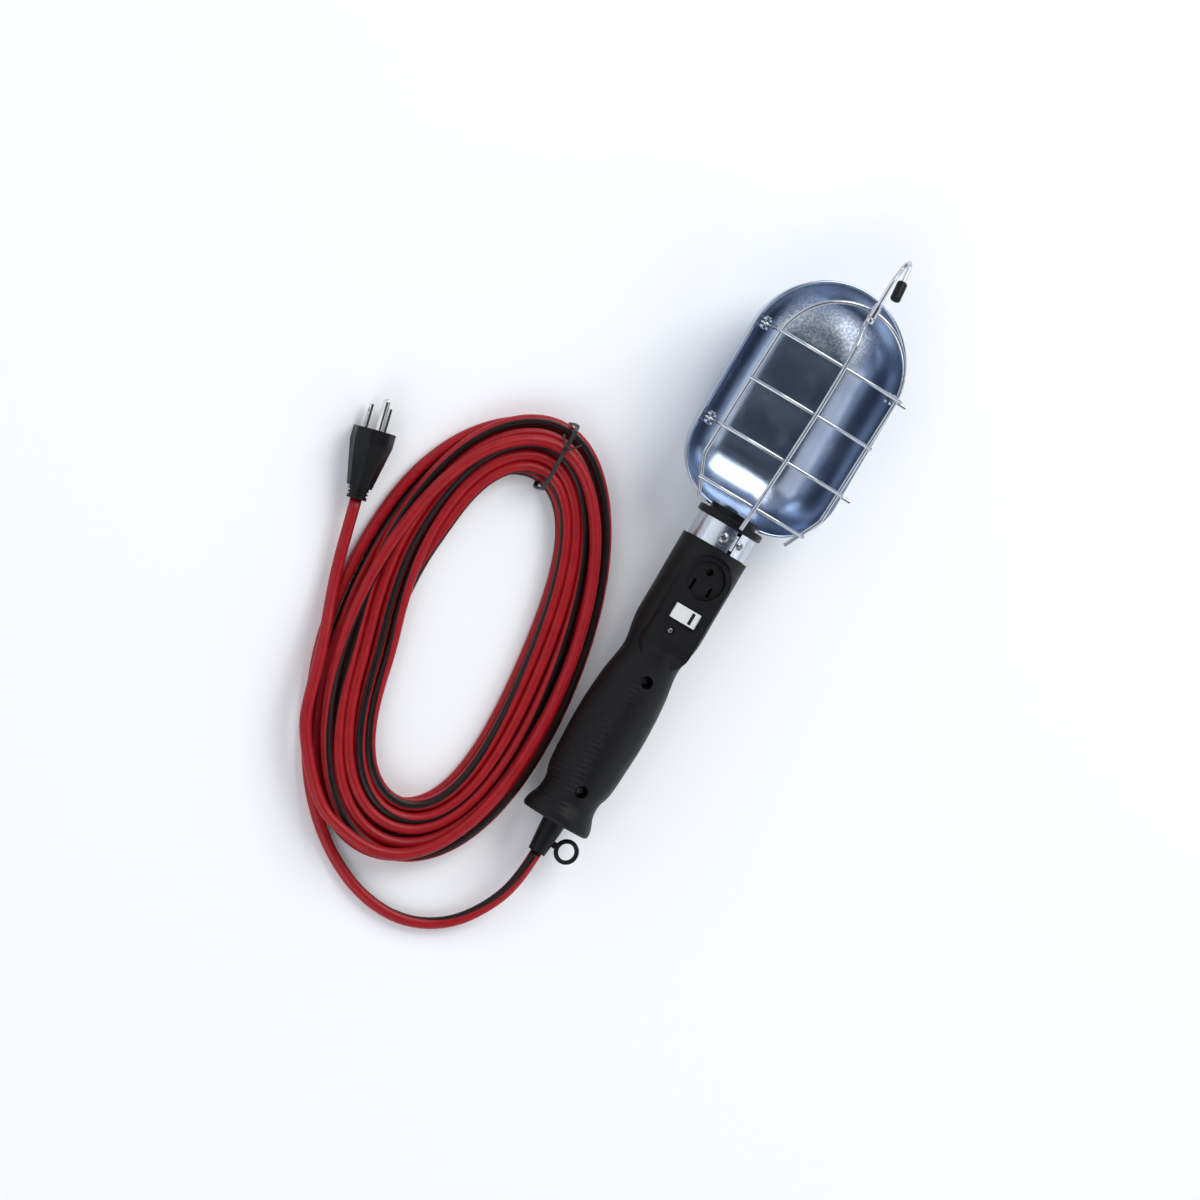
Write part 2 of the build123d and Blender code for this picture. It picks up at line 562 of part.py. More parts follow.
def reflector():
    """The pressed-steel reflector with its rolled rim, socket notch and riveted tongue."""
    hollow = bowl(SHEET, RIM_Z + 6)
    shell = bowl(0, RIM_Z) - hollow + rim_bead()
    shell -= disc(NOTCH_R, 15, 50)
    tongue = arc_plate(BAND_OUT_R + 0.05, BAND_OUT_R + SHEET + 0.05, 180 - TONGUE_HALF_ANGLE,
                       180 + TONGUE_HALF_ANGLE, 1.2, 40) - hollow
    shell += tongue
    for angle in (180 - RIVET_ANGLE, 180 + RIVET_ANGLE):
        shell -= at_angle(angle, stud(1.6, 0, sum(BAND_Y) / 2, 18, 24))
    return shell


def hinge_bracket(y):
    """A pair of rounded ears on the left rim, with a foot along the wall."""
    foot = block(-REFLECTOR_R + SHEET, -REFLECTOR_R + SHEET + 0.8, y - 5.4, y + 5.4, -2.0, HINGE_Z)
    ears = []
    for side in (-1, 1):
        near, far = y + side * EAR_GAP, y + side * (EAR_GAP + EAR_THICK)
        ear = disc(EAR_R, near, far, HINGE_X, HINGE_Z)
        ear += block(-REFLECTOR_R + SHEET, HINGE_X, near, far, HINGE_Z - EAR_R, HINGE_Z + 1.6)
        ears.append(ear - disc(HINGE_PIN_R, near - 2 * side, far + 2 * side, HINGE_X, HINGE_Z))
    return (foot + ears[0] + ears[1]) & bowl(SHEET, RIM_Z + 8)


def hinge_pin(y):
    """The pin held by one pair of ears."""
    reach = EAR_GAP + EAR_THICK + 0.5
    pin = disc(HINGE_PIN_R, y - reach, y + reach, HINGE_X, HINGE_Z)
    return pin + disc(2.0, y + reach, y + reach + 0.8, HINGE_X, HINGE_Z)


def latch_saddle():
    """The open saddle on the right rim that the upper bar drops into."""
    wall = REFLECTOR_R - SHEET
    saddle = block(wall - 0.8, wall, UPPER_BAR_Y - 5, UPPER_BAR_Y + 5, -3.0, 2.6)
    for side in (-1, 1):
        near, far = UPPER_BAR_Y + side * 2.0, UPPER_BAR_Y + side * 3.6
        saddle += disc(3.2, near, far, LATCH_X, LATCH_Z - 1.2)
        saddle += block(LATCH_X, wall, near, far, LATCH_Z - 4.4, LATCH_Z - 2.2)
    saddle += block(LATCH_X - 1.5, LATCH_X + 3.5, UPPER_BAR_Y - 3.6, UPPER_BAR_Y + 3.6, 1.4, 2.4)
    return saddle & bowl(SHEET, RIM_Z + 8)


# ---- wire guard ---------------------------------------------------------------------------------
HOOP_SLOPE = (HOOP_APEX_Z - HOOP_BEND_Z) / (HOOP_APEX_Y - HOOP_BEND_Y)


def hoop_z(y):
    """Height of the hoop's plane."""
    return HOOP_BEND_Z + (y - HOOP_BEND_Y) * HOOP_SLOPE


def hoop_half_width(y):
    """Half width of the hoop at a cross bar."""
    if y < HOOP_BEND_Y:
        share = (HOOP_BEND_Y - y) / HOOP_END_RUN
        return HOOP_HALF_WIDTH - share * (HOOP_HALF_WIDTH - HOOP_END_HALF_WIDTH)
    above = max(0.0, y - (HOOP_APEX_Y - HOOP_HALF_WIDTH))
    return math.sqrt(HOOP_HALF_WIDTH ** 2 - above ** 2)


def spine_z(y):
    """Height of the spine, before its corners are rounded."""
    for (y0, z0), (y1, z1) in zip(SPINE, SPINE[1:]):
        if y0 <= y <= y1:
            return z0 + (z1 - z0) * (y - y0) / (y1 - y0)
    return SPINE[-1][1]


def guard_hoop():
    """The U-shaped wire whose two legs fold in beside the socket."""
    end_y = HOOP_BEND_Y - HOOP_END_RUN
    plan = [(-HOOP_END_HALF_WIDTH, end_y), (-HOOP_HALF_WIDTH, HOOP_BEND_Y), (-HOOP_HALF_WIDTH, HOOP_APEX_Y)]
    plan += [(-x, y) for x, y in reversed(plan)]
    points = [(x, y, hoop_z(y)) for x, y in plan]
    arch = HOOP_HALF_WIDTH - 0.05
    return rod(points, [HOOP_BEND_R, arch, arch, HOOP_BEND_R], HOOP_WIRE)


def guard_spine():
    """The middle wire, from in front of the socket to below the hook."""
    return rod([(0, y, z) for y, z in SPINE], SPINE_RADII, SPINE_WIRE)


def bar_crown(y):
    """Height of a cross bar where it passes behind the spine."""
    return spine_z(y) - (SPINE_WIRE + CROSS_WIRE) / 2 + WELD


def hinged_bar(y):
    """A long cross bar: an eye round the hinge pin, over the hoop, and out across the right rim."""
    wrap = (HOOP_WIRE + CROSS_WIRE) / 2 - WELD / 2
    eye_wire_r = CROSS_WIRE / 2 + 0.05
    eye_r = HINGE_PIN_R + RUNNING_GAP + eye_wire_r
    side_x = hoop_half_width(y) + wrap
    shoulder_z = hoop_z(y) + 1.25 * wrap
    points = [(HINGE_X + eye_r, HINGE_Z - 0.5), (-side_x, shoulder_z), (-22, bar_crown(y)),
              (22, bar_crown(y)), (side_x, shoulder_z), (LATCH_X, LATCH_Z), (LATCH_TIP_X, LATCH_Z)]
    bar = rod([(x, y, z) for x, z in points], [wrap, 50, 50, wrap, 3.0], CROSS_WIRE)
    ring = Pos(HINGE_X, y, HINGE_Z) * Rot(90, 0, 0) * Torus(eye_r, eye_wire_r)
    return bar + ring


def plain_bar(y):
    """A short cross bar from one leg of the hoop to the other."""
    lift = (HOOP_WIRE + CROSS_WIRE) / 2 - WELD
    half = hoop_half_width(y)
    end = (half + 2.2, hoop_z(y) + lift - 0.8)
    knee = (20, bar_crown(y))
    points = [(-end[0], y, end[1]), (-knee[0], y, knee[1]), (knee[0], y, knee[1]), (end[0], y, end[1])]
    return rod(points, [60, 60], CROSS_WIRE)


def hook_bushing():
    """The short tube on top of the hoop that the hook turns in."""
    outer = disc(BUSH_R, *BUSH_Y, 0, HOOK_AXIS_Z)
    return outer - disc(HOOK_WIRE / 2 + RUNNING_GAP, BUSH_Y[0] - 1, BUSH_Y[1] + 1, 0, HOOK_AXIS_Z)


# ---- hook ---------------------------------------------------------------------------------------
def hook_wire():
    """The bent hook, with a washer-like collar above its bushing."""
    wire = rod([(0, y, z) for y, z in HOOK], HOOK_RADII, HOOK_WIRE)
    return wire + disc(2.6, BUSH_Y[1] + 0.4, BUSH_Y[1] + 1.6, 0, HOOK_AXIS_Z)


def hook_head():
    """The peened head that keeps the hook in its bushing."""
    head = disc(HOOK_HEAD_R, 174.4, BUSH_Y[0] - 0.4, 0, HOOK_AXIS_Z)
    head = fillet(head.edges(), 0.9)
    return head - disc(HOOK_WIRE / 2, 174.8, BUSH_Y[0], 0, HOOK_AXIS_Z)


def hook_tip():
    """The black sleeve on the hook's tip."""
    (y0, z0), (y1, z1) = HOOK[-2], HOOK[-1]
    run = math.hypot(y1 - y0, z1 - z0)
    along = ((y1 - y0) / run, (z1 - z0) / run)
    end = (0, y1 + along[0], z1 + along[1])
    plane = Plane(origin=end, z_dir=(0, -along[0], -along[1]))
    sleeve = plane * Pos(0, 0, TIP_LENGTH / 2) * Cylinder(TIP_R, TIP_LENGTH)
    sleeve = fillet(sleeve.edges(), 1.6)
    return sleeve - hook_wire()


# ---- cord entry ---------------------------------------------------------------------------------
def strain_relief():
    """The tapered sleeve on the cord with a hang loop moulded to its side."""
    cone = turned([(RELIEF_END, RELIEF_END_R), (HANDLE_END, RELIEF_TOP_R), (HANDLE_END, CORD_HOLE_R - 0.1),
                   (HANDLE_END + 3.2, CORD_HOLE_R - 0.1), (HANDLE_END + 3.2, RELIEF_TOP_R + 1.0),
                   (RELIEF_INSIDE, RELIEF_TOP_R + 1.0)])
    x, y = LOOP_AT
    ring = Pos(x, y, 0) * Torus((LOOP_R + LOOP_HOLE_R) / 2, (LOOP_R - LOOP_HOLE_R) / 2)
    ring -= stud(LOOP_BORE_R, x, y, -3, 3)
    stem = block(4, x - LOOP_R + 1.6, y - 2.2, y + 2.2, -1.6, 1.6)
    return cone + ring + stem - disc(CORD_D / 2, RELIEF_END - 1, RELIEF_INSIDE + 1)


def cord_inner():
    """The end of the cord's jacket, inside the strain relief and the handle."""
    return disc(CORD_D / 2, RELIEF_END, CORD_ENDS_Y)


def cord_clamp():
    """Two steel saddles that grip the jacket inside the handle."""
    saddles = []
    for side in (-1, 1):
        plate = block(-CLAMP_HALF_WIDTH, CLAMP_HALF_WIDTH, *CLAMP_Y, side * CLAMP_Z[0], side * CLAMP_Z[1])
        plate -= disc(CORD_D / 2, CLAMP_Y[0] - 1.5, CLAMP_Y[1] + 1.5)
        for x in (-CLAMP_SCREW_X, CLAMP_SCREW_X):
            plate -= stud(1.35, x, sum(CLAMP_Y) / 2, -8, 8)
        saddles.append(plate)
    return saddles


def cord_clamp_screws():
    """The two small screws through the saddles."""
    screws = []
    y = sum(CLAMP_Y) / 2
    for x in (-CLAMP_SCREW_X, CLAMP_SCREW_X):
        head = Pos(x, y, CLAMP_Z[1] + 0.1) * pan_head(2.3, 1.6)
        screws.append(head + stud(1.3, x, y, -6.5, CLAMP_Z[1] + 0.4))
    return screws


def shell_rivet():
    """The rivet through the socket's floor that feeds the screw shell."""
    return disc(1.6, -8.8, SHELL_BASE, SHELL_RIVET_X, 0)


def wires():
    """The insulated conductors inside the handle, by name."""
    routes = {
        "wire_hot": [(1.8, -189.4, 0), (7.4, -185, -1), (9.2, -160, -4), (9.4, -70, -6), (6.9, -50, -6.4)],
        "wire_neutral": [(-1.8, -189.4, 0), (-7.4, -185, -1), (-9.4, -160, -4), (-9.6, -62, -12),
                         (-8.4, -36, -8), (-7.3, -28, -2)],
        "wire_ground": [(0, -189.4, -2), (6.8, -184.5, -5.5), (7.4, -160, -10), (7.4, -62, -13.5),
                        (4.5, -32, -13), (0, -16.6, -2.4)],
        "wire_switched": [(-6.7, -47.6, -6.4), (-3.5, -40, -12), (-2.5, -22, -9), (0, -10.9, -0.6)],
        "wire_outlet_hot": [(6.9, -45.4, -6.2), (11, -38, -8.5), (9.5, -31, -6), (7.4, -27.4, -2)],
        "wire_shell": [(-7.6, -25.2, -2), (-12, -18, -6), (-9.4, -10.4, -1)],
    }
    return {name: rod(points, [2.5] * (len(points) - 2), WIRE_D) for name, points in routes.items()}


# ---- plug ---------------------------------------------------------------------------------------
def at_plug(shape):
    """Moves a shape drawn from the cord's entry, along +Y, to where the plug lies."""
    x, y, _ = TAIL[-1]
    return Pos(x, y, 0) * Rot(0, 0, PLUG_TURN) * shape


def plug_section(half_width, ridge, bottom, shoulder, top, y, corner):
    """The plug's outline at one station: flat below, with a roof-like ridge above."""
    corners = [(-half_width, bottom), (half_width, bottom), (half_width, shoulder), (ridge, top),
               (-ridge, top), (-half_width, shoulder)]
    outline = make_face(Polyline(*corners, close=True))
    outline = fillet(outline.vertices(), corner)
    return Plane(origin=(0, y, 0), x_dir=(1, 0, 0), z_dir=(0, -1, 0)) * outline


def plug_body():
    """The moulded plug, which narrows from its face to a round collar."""
    low = 0.3
    face = plug_section(PLUG_HALF_WIDTH, 6.0, low, 15.5, PLUG_HEIGHT, PLUG_FACE_Y, 2.4)
    rim = plug_section(PLUG_HALF_WIDTH, 6.0, low, 15.5, PLUG_HEIGHT, PLUG_FACE_Y - 9, 2.4)
    waist = plug_section(7.6, 3.4, PLUG_AXIS_Z - 6.4, PLUG_AXIS_Z + 3.6, PLUG_AXIS_Z + 7.0, PLUG_COLLAR, 1.8)
    body = loft([waist, rim], ruled=True) + loft([rim, face], ruled=True)
    body += disc(PLUG_COLLAR_R, 0, PLUG_COLLAR + 1, 0, PLUG_AXIS_Z)
    for y in (2.2, 4.6):
        groove = disc(PLUG_COLLAR_R + 1, y, y + 1.1, 0, PLUG_AXIS_Z)
        body -= groove - disc(PLUG_COLLAR_R - 0.9, y - 1, y + 2, 0, PLUG_AXIS_Z)
    return at_plug(body)


def plug_blade(side):
    """One flat blade."""
    width, length, thick = BLADE
    x = side * BLADE_SPACING / 2
    blade = block(x - thick / 2, x + thick / 2, PLUG_FACE_Y, PLUG_FACE_Y + length,
                  PLUG_BLADE_Z - width / 2, PLUG_BLADE_Z + width / 2)
    blade = chamfer(blade.faces().sort_by(Axis.Y)[-1].edges(), 0.4)
    return at_plug(blade - Pos(x, PLUG_FACE_Y + length - 4, PLUG_BLADE_Z) * Rot(0, 90, 0) * Cylinder(1.6, 4))


def plug_ground_pin():
    """The round ground pin with its domed end."""
    z = PLUG_BLADE_Z + GROUND_OFFSET
    straight = disc(GROUND_R, PLUG_FACE_Y, PLUG_FACE_Y + GROUND_PIN_LENGTH - GROUND_R, 0, z)
    return at_plug(straight + Pos(0, PLUG_FACE_Y + GROUND_PIN_LENGTH - GROUND_R, z) * Sphere(GROUND_R))


# ---- free cord ----------------------------------------------------------------------------------
def corner_radii(points):
    """A radius for each corner, as large as its two runs allow."""
    radii = []
    for before, corner, after in zip(points, points[1:], points[2:]):
        first = Vector(*corner) - Vector(*before)
        second = Vector(*after) - Vector(*corner)
        half_turn = math.radians(first.get_angle(second)) / 2
        radii.append(0.45 * min(first.length, second.length) / math.tan(half_turn))
    return radii


def cord_tube(name, points):
    """A free stretch of cord; prints its tightest bend and how true its volume is."""
    radii = corner_radii(points)
    path = FilletPolyline(*points, radius=radii)
    tube = sweep(Plane(origin=path @ 0, z_dir=path % 0) * Circle(CORD_D / 2), path=path)
    ideal = math.pi * CORD_D ** 2 / 4 * path.length
    print(name, "radii", [round(radius) for radius in radii], "length", round(path.length, 1),
          "volume ratio", round(tube.volume / ideal, 4))
    return tube


def coil_outline(half_width, half_length):
    """One oval of the coil, as it lies."""
    x, y = COIL_CENTRE
    return Pos(x, y) * Rot(0, 0, COIL_LEAN) * Ellipse(half_width, half_length)


def tie_outline(grow):
    """The tie's rounded loop round the bundle, seen along the turns."""
    middle = Pos(sum(TIE_Y) / 2, COIL_HEIGHT / 2 + TIE_THICK)
    loop = RectangleRounded(TIE_Y[1] - TIE_Y[0] + 2 * grow, COIL_HEIGHT + TIE_THICK + 2 * grow, 5 + grow)
    return Plane.YZ * Pos(0, 0, TIE_X - TIE_WIDTH / 2) * middle * loop


def coil_tie():
    """The twist tie: a flat loop round the bundle with its two ends twisted together on top."""
    loop = extrude(tie_outline(TIE_THICK / 2) - tie_outline(-TIE_THICK / 2), amount=TIE_WIDTH)
    top = COIL_HEIGHT + 1.5 * TIE_THICK
    for side in (-1, 1):
        loop += rod([(TIE_X, 12, top), (TIE_X + side * 2, 14, top + 3.5), (TIE_X + side * 7, 20, top + 5)],
                    [2], TIE_THICK)
    return loop


def cord_coil():
    """The outer shape of the coiled turns, with a groove where the tie passes."""
    ring = coil_outline(COIL_HALF_WIDTH, COIL_HALF_LENGTH)
    ring -= coil_outline(COIL_HALF_WIDTH - COIL_BUNDLE, COIL_HALF_LENGTH - COIL_BUNDLE)
    coil = extrude(ring, amount=COIL_HEIGHT)
    coil = fillet(coil.faces().sort_by(Axis.Z)[-1].edges(), COIL_CURVE)
    inside_tie = extrude(tie_outline(-TIE_THICK / 2 - 0.05), amount=TIE_WIDTH)
    band = block(TIE_X - TIE_WIDTH / 2, TIE_X + TIE_WIDTH / 2, *TIE_Y, -1, COIL_HEIGHT + 1)
    return coil - (band - inside_tie)


# ---- export -------------------------------------------------------------------------------------
def lamp_pieces():
    """Every piece of the lamp itself, in the lamp's own frame."""
    (left_x, blade_y, _), (right_x, _, _) = blade_places()
    pieces = {
        "handle_front_shell": handle_front_shell(),
        "handle_rear_shell": handle_rear_shell(),
        "handle_screws": handle_screws(),
        "pad_screw": pad_screw(),
        "outlet_face": outlet_face(),
        "outlet_neutral_contact": outlet_blade_contact(left_x, blade_y),
        "outlet_hot_contact": outlet_blade_contact(right_x, blade_y),
        "outlet_ground_contact": outlet_ground_contact(),
        "switch_body": switch_body(),
        "rocker": rocker(),
        "rocker_pivot_pin": rocker_pivot_pin(),
        "rocker_plunger": rocker_plunger(),
        "rocker_spring": rocker_spring(),
        "contact_arm": contact_arm(),
        "switch_terminals": [switch_terminal(-8.8, -4.6, 3.0), switch_terminal(5.0, 8.8, 2.6)],
        "socket_body": socket_body(),
        "screw_shell": screw_shell(),
        "centre_contact": centre_contact(),
        "clamp_band_left": clamp_band(-180, BAND_LEFT_END, CLAMP_SCREW_AT),
        "clamp_band_right": clamp_band(BAND_RIGHT_END, 180, CLAMP_RIVET_AT),
        "clamp_strap": clamp_strap(),
        "clamp_screw": clamp_fastener(CLAMP_SCREW_AT, 3.6, 2.2),
        "clamp_rivet": clamp_fastener(CLAMP_RIVET_AT, 2.6, 1.4),
        "tongue_rivets": tongue_rivets(),
        "reflector": reflector(),
        "hinge_bracket_upper": hinge_bracket(UPPER_BAR_Y),
        "hinge_bracket_lower": hinge_bracket(LOWER_BAR_Y),
        "hinge_pin_upper": hinge_pin(UPPER_BAR_Y),
        "hinge_pin_lower": hinge_pin(LOWER_BAR_Y),
        "latch_saddle": latch_saddle(),
        "guard_hoop": guard_hoop(),
        "guard_spine": guard_spine(),
        "guard_bar_upper": hinged_bar(UPPER_BAR_Y),
        "guard_bar_middle": plain_bar(MIDDLE_BAR_Y),
        "guard_bar_lower": hinged_bar(LOWER_BAR_Y),
        "guard_bar_base": plain_bar(BASE_BAR_Y),
        "hook_bushing": hook_bushing(),
        "hook_wire": hook_wire(),
        "hook_head": hook_head(),
        "hook_tip": hook_tip(),
        "strain_relief": strain_relief(),
        "cord_inner": cord_inner(),
        "cord_clamp": cord_clamp(),
        "cord_clamp_screws": cord_clamp_screws(),
        "shell_rivet": shell_rivet(),
        **wires(),
    }
    return {name: piece if isinstance(piece, list) else [piece] for name, piece in pieces.items()}


def cord_pieces(exit_point):
    """The free cord with its coil, tie and plug, in the finished part's frame."""
    return {
        "cord_lead": cord_tube("cord_lead", [exit_point] + LEAD),
        "cord_coil": cord_coil(),
        "cord_tail": cord_tube("cord_tail", TAIL),
        "coil_tie": coil_tie(),
        "plug_body": plug_body(),
        "plug_blade_left": plug_blade(-1),
        "plug_blade_right": plug_blade(1),
        "plug_ground_pin": plug_ground_pin(),
    }


def save(name, solids):
    """Writes one sub-part's file."""
    export_step(Compound(solids), f"parts/{name}.step")


def main():
    os.makedirs("parts", exist_ok=True)
    lamp = lamp_pieces()
    lie = Rot(LIE_ANGLE, 0, 0)
    lain = {name: [lie * solid for solid in solids] for name, solids in lamp.items()}
    box = Compound([solid for solids in lain.values() for solid in solids]).bounding_box()
    to_origin = Pos(-box.center().X, -box.center().Y, -box.min.Z)
    for name, solids in lain.items():
        save(name, [to_origin * solid for solid in solids])
    exit_point = (to_origin * lie * Pos(0, RELIEF_END, 0)).position
    print("lamp origin", (to_origin * lie).position, "lie angle", LIE_ANGLE, "cord exit", exit_point)
    for name, solid in cord_pieces(tuple(exit_point)).items():
        save(name, [solid])


main()
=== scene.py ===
"""A work light on its back: reflector and wire guard, black handle, and its cord coiled beside it."""
import json
import math

import bpy
from mathutils import Matrix, Vector


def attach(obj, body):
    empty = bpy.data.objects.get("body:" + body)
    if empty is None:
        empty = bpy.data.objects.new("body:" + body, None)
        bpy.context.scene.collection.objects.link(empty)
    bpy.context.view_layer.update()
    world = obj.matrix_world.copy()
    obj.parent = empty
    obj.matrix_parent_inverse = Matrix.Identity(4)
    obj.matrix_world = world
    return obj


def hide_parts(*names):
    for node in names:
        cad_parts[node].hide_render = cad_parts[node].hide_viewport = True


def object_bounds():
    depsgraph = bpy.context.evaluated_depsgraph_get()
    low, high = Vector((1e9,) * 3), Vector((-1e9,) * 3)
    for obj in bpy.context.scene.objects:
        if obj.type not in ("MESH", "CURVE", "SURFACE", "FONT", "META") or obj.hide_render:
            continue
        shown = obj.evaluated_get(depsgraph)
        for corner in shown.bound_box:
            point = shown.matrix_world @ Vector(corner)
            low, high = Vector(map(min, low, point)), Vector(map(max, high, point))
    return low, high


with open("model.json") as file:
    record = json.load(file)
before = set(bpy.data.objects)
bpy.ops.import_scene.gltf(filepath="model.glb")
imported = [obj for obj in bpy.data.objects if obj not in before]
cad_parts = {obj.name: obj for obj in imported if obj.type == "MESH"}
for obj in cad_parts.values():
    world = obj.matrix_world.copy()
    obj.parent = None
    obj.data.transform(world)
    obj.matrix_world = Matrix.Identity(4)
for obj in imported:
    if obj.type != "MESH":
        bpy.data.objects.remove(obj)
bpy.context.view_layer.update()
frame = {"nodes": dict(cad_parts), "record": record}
NODES = frame["nodes"]

# ---- driving values, in metres ------------------------------------------------------------------
LAMP_TILT = math.radians(4.313)          # the lamp lies on its handle's heel and its reflector
LAMP_ORIGIN = Vector((-0.00285, 0.0057054, 0.0393455))
ALONG = (0, math.cos(LAMP_TILT), math.sin(LAMP_TILT))
CAMERA_AIM = Vector((-0.0484, -0.0601, 0.0213))
CAMERA_BACK = Vector((-0.2756, -0.0723, 0.9586))
CAMERA_UP = Vector((-0.4879, 0.8697, -0.0747))
CAMERA_DISTANCE = 4.333
CAMERA_LENS = 200.0

CORD_DIAMETER = 0.0078
CORD_SIDES = 24
STRIPE_SIDES = 5                         # how many of the jacket's sides are black
STRIPE_WANDER = [(2.6, 2.1, 0.0), (1.7, 5.3, 1.0)]       # (radians, radians a metre, start)
STRIPE_WIND = 3.0                        # how steadily the stripe turns, in radians a metre
CORD_EXIT = (-0.00285, -0.22265, 0.02212)
LEAD = [(-0.0029, -0.2405, 0.0202), (-0.0075, -0.2640, 0.0125), (-0.0240, -0.2900, 0.0050),
        (-0.0520, -0.3045, 0.0039), (-0.0840, -0.3040, 0.0039), (-0.1160, -0.2905, 0.0039),
        (-0.1420, -0.2700, 0.0039), (-0.1630, -0.2445, 0.0039), (-0.1790, -0.2130, 0.0039)]
TAIL = [(-0.1779, -0.2290, 0.0160), (-0.1855, -0.2080, 0.0175), (-0.1905, -0.1880, 0.0170),
        (-0.1960, -0.1680, 0.0145), (-0.2025, -0.1480, 0.0100), (-0.2090, -0.1270, 0.0078),
        (-0.2155, -0.1040, 0.0095), (-0.2210, -0.0830, 0.0105)]

COIL_CENTRE = (-0.114, -0.1265)
COIL_LEAN = math.radians(5.6)
COIL_INNER = (0.042, 0.1135)             # half width and half length of the coil's opening
COIL_START = -14                         # degrees round the coil, from its left side, clockwise
COIL_STEP = 15
COIL_END = 312
LAYER_TURNS = 5
RISE_LAST = 324                          # where the turns change places in the bundle, in degrees
SHIFT_OUT = 348
RISE_FIRST = 372
SHIFT_IN = 382
SHIFT = 24                               # how long a change of place lasts
SHIFT_IN_LASTS = 52                      # and how long a change inwards lasts
TOP_TURN = [(90, 0.022, 2), (180, 0.029, 2), (280, 0.032, 2), (305, 0.042, 1.7), (318, 0.048, 1.6)]
ROUNDER_ENDS = (0.05, 0.02)              # how much blunter than an ellipse the inner and all turns are
ROUNDER_REACH = 0.031                    # how far out from the opening the inner turns' bluntness fades
SPREAD = 0.09                            # how much the turns spread where nothing ties them
SPREAD_FROM = 0.020
WAVE = 0.0007                            # how far each turn wanders from its neighbours
SQUEEZE = 0.0039                         # how far the tie pushes the upper layers sideways
LAYER_SHIFT = [(0.0010, 0.0010), (0.0060, 0.0030), (0.0010, -0.0020)]   # at the end that nothing ties
TIE_ANGLE = 97.5
TIGHTNESS = 12                           # the higher, the shorter the length that the tie pulls tight
TIE_LIFT = 0.00145
NEST_DROP = 0.00105                      # how much deeper a layer sits where the tie pulls it tight

RIBS_MIDDLE = 0.149                      # the finger ribs on the grip, in the lamp's own directions
RIBS_HALF = 0.048
RIBS_ACROSS = 0.022
RIBS_REACH = 0.017
RIB_SLANT = -0.15
RIB_PITCH = 0.0037
MARK_ACROSS = 0.0040                     # the bar printed on the rocker
MARK_ALONG = -0.0478
MARK_HALF = (0.0011, 0.0041)
PATCH_ALONG = 0.162                      # the frosted patch near the reflector's far end
PATCH_HALF = (0.030, 0.014)

CORD_RED = (0.37, 0.007, 0.012)
CORD_DEEP_RED = (0.22, 0.004, 0.008)
ROCKER_WHITE = (0.70, 0.70, 0.69)

AREA_LIGHTS = [                          # name, place, what it faces, size, power
    ("key", (0.5, 2.0, 1.9), (0.0, 0.0, 0.0), 2.0, 62),
    ("left", (-2.2, 0.2, 1.7), (-0.1, -0.1, 0.0), 2.8, 20),
    ("right", (2.2, -0.6, 1.6), (0.0, 0.0, 0.0), 2.4, 18),
    ("low", (-0.6, -2.4, 1.8), (-0.1, -0.1, 0.0), 2.2, 34),
]
ROOM_HORIZON = (0.15, (0.60, 0.66, 0.78, 1))             # (height, colour) of the room's light
ROOM_ABOVE = (0.92, (0.035, 0.05, 0.075, 1))
FLOOR_REACH = 6
FLOOR_DROP = 0.0002


# ---- cord ---------------------------------------------------------------------------------------
def ease(stations, at):
    """The offset and level at one angle, eased between the stations either side of it."""
    for (start, *before), (end, *after) in zip(stations, stations[1:]):
        if at <= end:
            share = max(0.0, (at - start) / (end - start))
            share = share * share * (3 - 2 * share)
            return [a + (b - a) * share for a, b in zip(before, after)]
    return list(stations[-1][1:])


def coil_stations():
    """Where the cord lies in the bundle: (angle, offset from the inner edge, layer), turn by turn."""
    pitch = CORD_DIAMETER
    inner = pitch / 2
    outer = inner + pitch * (LAYER_TURNS - 1)
    stations = [(COIL_START, outer + pitch, 0), (SHIFT_IN - 360, outer + pitch, 0)]
    for turn in range(LAYER_TURNS):
        leaves = SHIFT_IN if turn < LAYER_TURNS - 1 else RISE_FIRST
        offset = outer - pitch * turn
        stations.append((360 * (turn - 1) + SHIFT_IN + SHIFT_IN_LASTS, offset, 0))
        stations.append((360 * turn + leaves, offset, 0))
    for turn in range(LAYER_TURNS, 2 * LAYER_TURNS):
        arrives = SHIFT_OUT if turn > LAYER_TURNS else RISE_FIRST
        leaves = SHIFT_OUT if turn < 2 * LAYER_TURNS - 1 else RISE_LAST
        offset = inner + pitch * (turn - LAYER_TURNS)
        stations.append((360 * (turn - 1) + arrives + SHIFT, offset, 1))
        stations.append((360 * turn + leaves, offset, 1))
    top = 360 * 2 * LAYER_TURNS
    stations.append((top - 360 + RISE_LAST + SHIFT, outer - 0.002, 2))
    stations += [(top + angle, offset, layer) for angle, offset, layer in TOP_TURN]
    return stations


